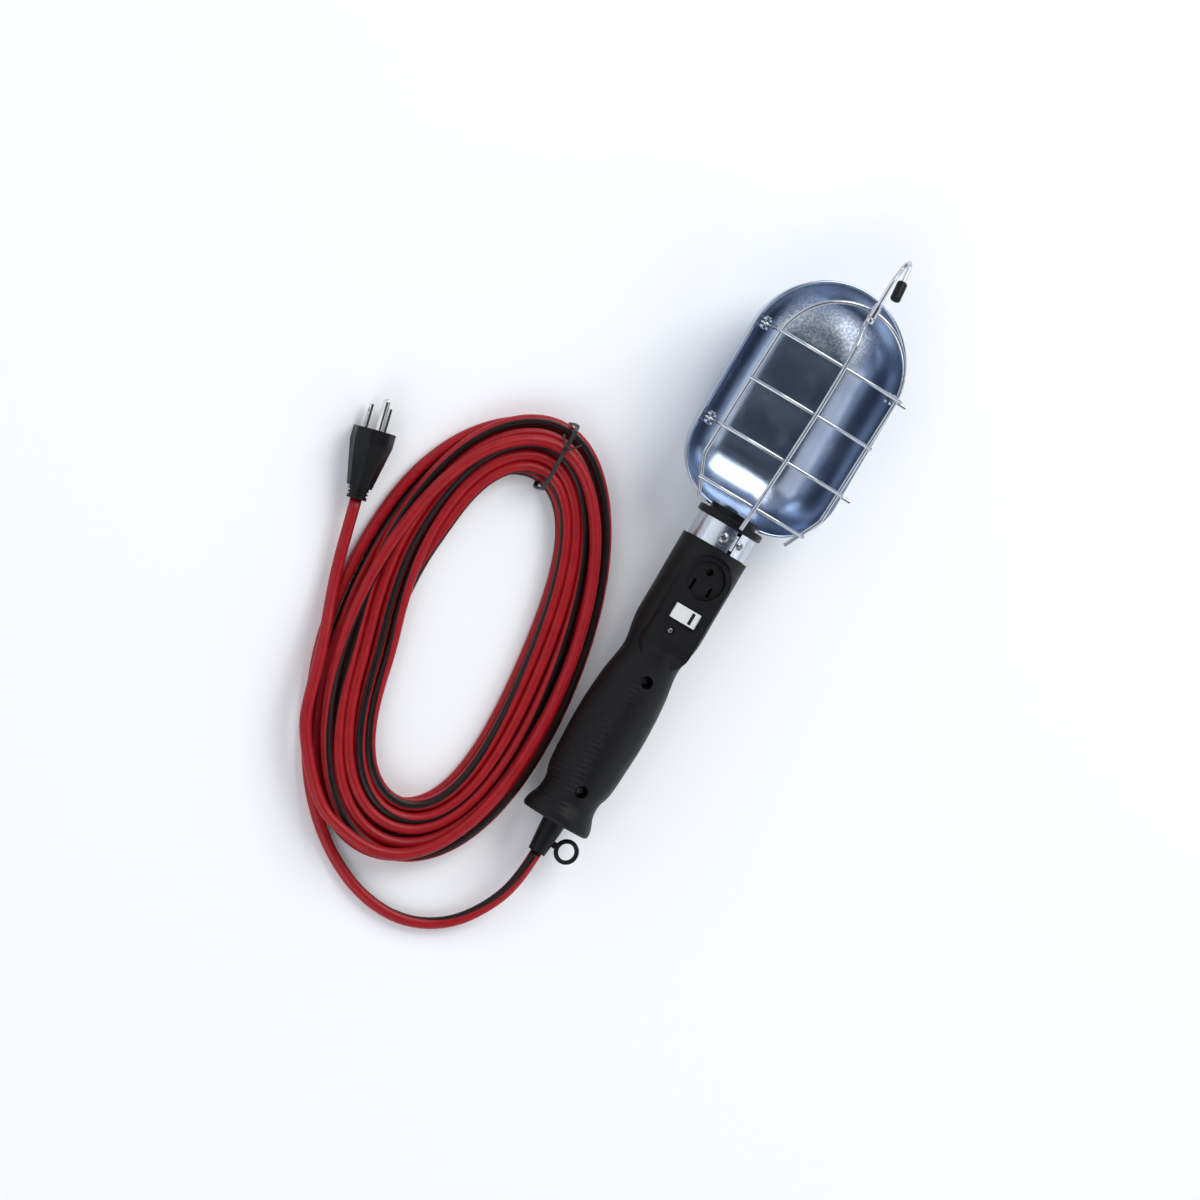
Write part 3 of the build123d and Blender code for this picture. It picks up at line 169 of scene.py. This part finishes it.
def coil_point(angle, stations):
    """One point of the coil's turns."""
    offset, layer = ease(stations, angle)
    turn = angle / 360
    round_tie = math.radians(angle - TIE_ANGLE)
    slack = (1 - math.cos(round_tie)) / 2
    tight = max(0.0, math.cos(round_tie)) ** TIGHTNESS
    offset += slack * (SPREAD * (offset - SPREAD_FROM) + WAVE * math.sin(2.3 * turn + 2 * round_tie))
    offset += min(layer, 1) * SQUEEZE * tight
    around = math.radians(angle)
    grow = 1 / (1 - (1 - math.cos(math.radians(COIL_STEP))) / 4)
    blunt = ROUNDER_ENDS[0] * max(0.0, 1 - offset / ROUNDER_REACH) + ROUNDER_ENDS[1]
    side = math.cos(around) - blunt * math.cos(3 * around)
    x = -(COIL_INNER[0] + offset) * side / (1 - blunt) * grow
    y = (COIL_INNER[1] + offset) * math.sin(around) * grow
    shift_x, shift_y = [a + (b - a) * (layer % 1) for a, b in
                        zip(LAYER_SHIFT[int(layer)], LAYER_SHIFT[min(int(layer) + 1, 2)])]
    x += slack * shift_x
    y += slack * shift_y
    z = CORD_DIAMETER * (layer + 0.5) + tight * (TIE_LIFT - NEST_DROP * layer)
    lean = Matrix.Rotation(COIL_LEAN, 2) @ Vector((x, y))
    return (COIL_CENTRE[0] + lean.x, COIL_CENTRE[1] + lean.y, z)


def cord_route():
    """The route's points from the strain relief to the plug."""
    stations = coil_stations()
    last = 360 * 2 * LAYER_TURNS + COIL_END
    coil = [coil_point(angle, stations) for angle in range(COIL_START, last + 1, COIL_STEP)]
    return [CORD_EXIT] + LEAD + coil + TAIL


def spline_points(route):
    """Points along the smooth NURBS spline that has the route's points as its control points."""
    curve = bpy.data.curves.new("cord_line", "CURVE")
    curve.dimensions = "3D"
    curve.resolution_u = 6
    spline = curve.splines.new("NURBS")
    spline.points.add(len(route) - 1)
    for point, place in zip(spline.points, route):
        point.co = (*place, 1)
    spline.order_u = 3
    spline.use_endpoint_u = True
    holder = bpy.data.objects.new("cord_line", curve)
    bpy.context.scene.collection.objects.link(holder)
    mesh = bpy.data.meshes.new_from_object(holder)
    points = [vertex.co.copy() for vertex in mesh.vertices]
    bpy.data.objects.remove(holder)
    bpy.data.meshes.remove(mesh)
    return points


def new_object(name, vertices, faces, body):
    """A smooth mesh object that rides on a body."""
    mesh = bpy.data.meshes.new(name)
    mesh.from_pydata(vertices, [], faces)
    for polygon in mesh.polygons:
        polygon.use_smooth = True
    piece = bpy.data.objects.new(name, mesh)
    bpy.context.scene.collection.objects.link(piece)
    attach(piece, body)
    return piece


def cord_tube(points):
    """The jacket: a round tube along the points whose stripe winds slowly round it."""
    vertices = []
    side = Vector((1, 0, 0))
    length = 0.0
    for index, point in enumerate(points):
        ahead = points[min(index + 1, len(points) - 1)]
        behind = points[max(index - 1, 0)]
        along = (ahead - behind).normalized()
        side = (side - along * side.dot(along)).normalized()
        other = along.cross(side)
        length += (point - behind).length
        wander = sum(size * math.sin(length * rate + start) for size, rate, start in STRIPE_WANDER)
        twist = wander + length * STRIPE_WIND
        for step in range(CORD_SIDES):
            angle = twist + 2 * math.pi * step / CORD_SIDES
            rim = side * math.cos(angle) + other * math.sin(angle)
            vertices.append(point + rim * CORD_DIAMETER / 2)
    faces = []
    for ring in range(len(points) - 1):
        for step in range(CORD_SIDES):
            a = ring * CORD_SIDES + step
            b = ring * CORD_SIDES + (step + 1) % CORD_SIDES
            faces.append((a, b, b + CORD_SIDES, a + CORD_SIDES))
    faces.append(tuple(reversed(range(CORD_SIDES))))
    faces.append(tuple(range(len(vertices) - CORD_SIDES, len(vertices))))
    tube = new_object("cord_jacket", vertices, faces, "handle")
    for index, polygon in enumerate(tube.data.polygons[:-2]):
        polygon.material_index = 1 if index % CORD_SIDES < STRIPE_SIDES else 0
    return tube


def make_cord():
    """The free cord: a new striped tube in place of the CAD cord nodes, which are hidden."""
    points = spline_points(cord_route())
    tube = cord_tube(points)
    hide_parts("cord_lead", "cord_coil", "cord_tail")
    return tube


# ---- materials ----------------------------------------------------------------------------------
def at_lamp(across, along, out):
    """A point given in the lamp's own directions, in the row frame."""
    c, s = math.cos(LAMP_TILT), math.sin(LAMP_TILT)
    return LAMP_ORIGIN + Vector((across, along * c - out * s, along * s + out * c))


class Surface:
    """A material in the making: a Principled shader and what drives its colour, gloss and relief."""

    def __init__(self, name, colour, roughness, metallic=0.0, specular=0.5):
        self.material = bpy.data.materials.new(name)
        self.material.use_nodes = True
        self.material.diffuse_color = (*colour, 1)
        self.tree = self.material.node_tree
        self.shader = self.tree.nodes["Principled BSDF"]
        self.shader.inputs["Base Color"].default_value = (*colour, 1)
        self.shader.inputs["Roughness"].default_value = roughness
        self.shader.inputs["Metallic"].default_value = metallic
        self.shader.inputs["Specular IOR Level"].default_value = specular
        self.place = self.tree.nodes.new("ShaderNodeTexCoord").outputs["Object"]
        self.normal = None

    def link(self, output, socket):
        self.tree.links.new(output, socket)

    def feed(self, value, socket):
        """Puts a number, a tuple or another node's output into a socket."""
        if isinstance(value, bpy.types.NodeSocket):
            self.link(value, socket)
        else:
            socket.default_value = value

    def math(self, operation, first, second=0.0):
        made = self.tree.nodes.new("ShaderNodeMath")
        made.operation = operation
        self.feed(first, made.inputs[0])
        self.feed(second, made.inputs[1])
        return made.outputs[0]

    def distance(self, origin, direction):
        """How far each place lies from the origin along the direction, in metres."""
        offset = self.tree.nodes.new("ShaderNodeVectorMath")
        offset.operation = "SUBTRACT"
        self.link(self.place, offset.inputs[0])
        offset.inputs[1].default_value = origin
        dot = self.tree.nodes.new("ShaderNodeVectorMath")
        dot.operation = "DOT_PRODUCT"
        self.link(offset.outputs[0], dot.inputs[0])
        dot.inputs[1].default_value = direction
        return dot.outputs["Value"]

    def inside(self, value, half, soft=0.0001):
        """1 where the value is nearer zero than half, falling to 0 over the soft width."""
        fall = self.math("DIVIDE", self.math("SUBTRACT", half, self.math("ABSOLUTE", value)), soft)
        return self.math("MINIMUM", self.math("MAXIMUM", self.math("ADD", fall, 0.5), 0.0), 1.0)

    def noise(self, scale, detail=2.0, stretch=(1, 1, 1)):
        mapping = self.tree.nodes.new("ShaderNodeMapping")
        mapping.inputs["Scale"].default_value = stretch
        self.link(self.place, mapping.inputs["Vector"])
        made = self.tree.nodes.new("ShaderNodeTexNoise")
        made.inputs["Scale"].default_value = scale
        made.inputs["Detail"].default_value = detail
        self.link(mapping.outputs[0], made.inputs["Vector"])
        return made.outputs["Fac"]

    def colours(self, factor, first, second):
        """Mixes two colours, or a colour and an output, by the factor."""
        made = self.tree.nodes.new("ShaderNodeMix")
        made.data_type = "RGBA"
        self.feed(factor, made.inputs[0])
        for colour, socket in ((first, made.inputs[6]), (second, made.inputs[7])):
            self.feed((*colour, 1) if isinstance(colour, tuple) else colour, socket)
        self.link(made.outputs[2], self.shader.inputs["Base Color"])
        return made.outputs[2]

    def gloss(self, factor, low, high):
        """Lets the roughness drift between two values."""
        made = self.tree.nodes.new("ShaderNodeMapRange")
        self.link(factor, made.inputs["Value"])
        made.inputs["From Min"].default_value = 0.3
        made.inputs["From Max"].default_value = 0.7
        made.inputs["To Min"].default_value = low
        made.inputs["To Max"].default_value = high
        self.link(made.outputs[0], self.shader.inputs["Roughness"])

    def relief(self, height, depth, strength=1.0):
        """Adds a bump whose full height is depth metres."""
        made = self.tree.nodes.new("ShaderNodeBump")
        made.inputs["Distance"].default_value = depth
        made.inputs["Strength"].default_value = strength
        self.link(height, made.inputs["Height"])
        if self.normal:
            self.link(self.normal, made.inputs["Normal"])
        self.normal = made.outputs[0]
        self.link(self.normal, self.shader.inputs["Normal"])


def moulded(name, colour, paler, rough, grain=0.00003, specular=0.5):
    """A moulded plastic with a fine spark-eroded grain and faint handling marks."""
    surface = Surface(name, colour, rough, specular=specular)
    cloud = surface.noise(90, 4)
    surface.colours(cloud, colour, paler)
    surface.gloss(surface.noise(160, 3), rough - 0.06, rough + 0.08)
    surface.relief(surface.noise(2600, 1), grain)
    return surface


def grip_plastic():
    """The handle's satin plastic, with fine finger ribs on the left of the grip."""
    surface = moulded("handle_black", (0.0045, 0.0045, 0.0048), (0.0075, 0.0075, 0.0080), 0.46,
                      specular=0.18)
    along = surface.distance(at_lamp(0, 0, 0), ALONG)
    across = surface.distance(at_lamp(0, 0, 0), (1, 0, 0))
    length = surface.inside(surface.math("ADD", along, RIBS_MIDDLE), RIBS_HALF, 0.006)
    left = surface.inside(surface.math("ADD", across, RIBS_ACROSS), RIBS_REACH, 0.008)
    sweep = surface.math("MULTIPLY", across, RIB_SLANT)
    phase = surface.math("MULTIPLY", surface.math("ADD", along, sweep), 2 * math.pi / RIB_PITCH)
    wave = surface.math("SINE", phase)
    ribs = surface.math("MULTIPLY", wave, surface.math("MULTIPLY", length, left))
    surface.relief(ribs, 0.00022)
    return surface.material


def rocker_plastic():
    """The rocker's white plastic with a black bar printed on the side that switches on."""
    surface = moulded("rocker_white", ROCKER_WHITE, (0.64, 0.64, 0.62), 0.34, grain=0.00001)
    middle = at_lamp(MARK_ACROSS, MARK_ALONG, 0)
    bar = surface.math("MULTIPLY", surface.inside(surface.distance(middle, (1, 0, 0)), MARK_HALF[0]),
                       surface.inside(surface.distance(middle, ALONG), MARK_HALF[1]))
    white = surface.colours(surface.noise(200, 3), ROCKER_WHITE, (0.63, 0.63, 0.61))
    surface.colours(bar, white, (0.008, 0.008, 0.008))
    return surface.material


def plated(name, colour, duller, rough, wear=0.06, stretch=(1, 1, 1), dent=0.00001):
    """Bright zinc-plated or bare metal, a little clouded, with fine drawing lines along the stretch."""
    surface = Surface(name, colour, rough, metallic=1.0)
    surface.colours(surface.noise(220, 4), colour, duller)
    surface.gloss(surface.noise(500, 3, stretch), rough - wear / 2, rough + wear)
    surface.relief(surface.noise(1500, 2, stretch), dent)
    return surface


def reflector_metal():
    """The reflector's bluish bright sheet, slightly wavy, with a frosted patch near its far end."""
    surface = Surface("reflector_zinc", (0.36, 0.43, 0.54), 0.28, metallic=1.0)
    cloud = surface.noise(34, 3)
    tint = surface.colours(cloud, (0.25, 0.32, 0.44), (0.46, 0.53, 0.64))
    along = surface.inside(surface.distance(at_lamp(0, PATCH_ALONG, 0), ALONG), PATCH_HALF[1], 0.006)
    across = surface.inside(surface.distance(at_lamp(0, 0, 0), (1, 0, 0)), PATCH_HALF[0], 0.010)
    patch = surface.math("MULTIPLY", along, across)
    speckle = surface.math("GREATER_THAN", surface.noise(760, 3, (1, 0.7, 1)), 0.5)
    frosted = surface.math("MULTIPLY", patch, speckle)
    surface.colours(surface.math("MULTIPLY", frosted, 0.75), tint, (0.74, 0.77, 0.80))
    surface.gloss(surface.math("ADD", surface.math("MULTIPLY", surface.noise(60, 3), 0.6),
                               surface.math("MULTIPLY", patch, 0.35)), 0.22, 0.42)
    surface.relief(surface.noise(16, 2), 0.0011)
    surface.relief(frosted, 0.00014)
    return surface.material


def jacket(name, colour, deeper):
    """The cord's soft jacket."""
    surface = Surface(name, colour, 0.40, specular=0.26)
    surface.colours(surface.noise(110, 4), colour, deeper)
    surface.gloss(surface.noise(300, 3), 0.32, 0.48)
    surface.relief(surface.noise(900, 2), 0.00005)
    return surface.material


def materials_by_slot():
    """One finished material for each of the record's material slots."""
    along = (1, 0.04, 1)
    return {
        "handle_plastic": grip_plastic(),
        "black_moulding": moulded("moulding_black", (0.0045, 0.0045, 0.0048),
                                  (0.0070, 0.0070, 0.0074), 0.40, specular=0.18).material,
        "rocker_white": rocker_plastic(),
        "nylon": moulded("nylon", (0.74, 0.71, 0.62), (0.68, 0.65, 0.55), 0.35).material,
        "zinc_screws": plated("zinc_screws", (0.34, 0.34, 0.35), (0.22, 0.22, 0.23), 0.30).material,
        "zinc_band": plated("zinc_band", (0.64, 0.67, 0.72), (0.48, 0.51, 0.56), 0.24,
                            stretch=(1, 1, 0.1)).material,
        "brass": plated("brass", (0.72, 0.52, 0.22), (0.55, 0.38, 0.15), 0.28).material,
        "steel": plated("steel", (0.56, 0.57, 0.58), (0.42, 0.42, 0.43), 0.32).material,
        "reflector_sheet": reflector_metal(),
        "guard_wire": plated("guard_zinc", (0.58, 0.60, 0.64), (0.36, 0.38, 0.42), 0.22,
                             stretch=along).material,
        "hook_wire": plated("hook_zinc", (0.70, 0.71, 0.73), (0.48, 0.49, 0.51), 0.22,
                            stretch=along).material,
        "plug_pins": plated("pin_nickel", (0.76, 0.75, 0.72), (0.62, 0.60, 0.56), 0.16).material,
        "tie_wire": moulded("tie_black", (0.012, 0.012, 0.012), (0.020, 0.020, 0.020), 0.45).material,
        "insulation_black": moulded("wire_black", (0.010, 0.010, 0.010), (0.016, 0.016, 0.016),
                                    0.40).material,
        "insulation_white": moulded("wire_white", (0.75, 0.75, 0.72), (0.68, 0.68, 0.65), 0.40).material,
        "insulation_green": moulded("wire_green", (0.02, 0.22, 0.06), (0.02, 0.16, 0.05), 0.40).material,
        "cord_jacket": jacket("cord_red_inner", CORD_RED, CORD_DEEP_RED),
    }


def dress_cad_nodes():
    """Gives every carried-over CAD node its slot's material."""
    materials = materials_by_slot()
    for subpart in frame["record"]["subparts"]:
        mesh = NODES[subpart["node"]].data
        mesh.materials.clear()
        mesh.materials.append(materials[subpart["material_slot"]])


# ---- stage --------------------------------------------------------------------------------------
def make_camera():
    """The camera, far off and high over the lamp, with the handle towards the lower right."""
    data = bpy.data.cameras.new("camera")
    data.lens = CAMERA_LENS
    data.clip_end = 50
    camera = bpy.data.objects.new("camera", data)
    bpy.context.scene.collection.objects.link(camera)
    back = CAMERA_BACK.normalized()
    right = CAMERA_UP.cross(back).normalized()
    up = back.cross(right)
    camera.matrix_world = Matrix.Translation(CAMERA_AIM + back * CAMERA_DISTANCE) @ \
        Matrix((right, up, back)).transposed().to_4x4()
    bpy.context.scene.camera = camera


def make_floor():
    """A plain pale floor."""
    mesh = bpy.data.meshes.new("floor")
    corners = [(-FLOOR_REACH, -FLOOR_REACH, 0), (FLOOR_REACH, -FLOOR_REACH, 0),
               (FLOOR_REACH, FLOOR_REACH, 0), (-FLOOR_REACH, FLOOR_REACH, 0)]
    mesh.from_pydata(corners, [], [(0, 1, 2, 3)])
    floor = bpy.data.objects.new("floor", mesh)
    bpy.context.scene.collection.objects.link(floor)
    floor.location.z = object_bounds()[0].z - FLOOR_DROP
    mesh.materials.append(Surface("floor_white", (0.90, 0.905, 0.91), 0.6).material)


def area_light(name, place, aim, size, power):
    """A soft square light."""
    data = bpy.data.lights.new(name, "AREA")
    data.size = size
    data.energy = power
    light = bpy.data.objects.new(name, data)
    bpy.context.scene.collection.objects.link(light)
    light.location = place
    light.rotation_euler = (Vector(aim) - Vector(place)).to_track_quat("-Z", "Y").to_euler()


def make_lights():
    """Large soft lights round the object and a dim bluish room above it."""
    for light in AREA_LIGHTS:
        area_light(*light)
    world = bpy.data.worlds.new("room")
    world.use_nodes = True
    tree = world.node_tree
    direction = tree.nodes.new("ShaderNodeTexCoord").outputs["Generated"]
    split = tree.nodes.new("ShaderNodeSeparateXYZ")
    tree.links.new(direction, split.inputs[0])
    ramp = tree.nodes.new("ShaderNodeValToRGB")
    for element, (position, colour) in zip(ramp.color_ramp.elements, (ROOM_HORIZON, ROOM_ABOVE)):
        element.position = position
        element.color = colour
    tree.links.new(split.outputs["Z"], ramp.inputs[0])
    tree.links.new(ramp.outputs[0], tree.nodes["Background"].inputs["Color"])
    bpy.context.scene.world = world
    bpy.context.scene.view_settings.view_transform = "Standard"


# ---- the scene ----------------------------------------------------------------------------------
cord = make_cord()
cord.data.materials.append(jacket("cord_red", CORD_RED, CORD_DEEP_RED))
cord.data.materials.append(jacket("cord_black", (0.007, 0.0025, 0.0025), (0.012, 0.004, 0.004)))
dress_cad_nodes()
make_camera()
make_floor()
make_lights()
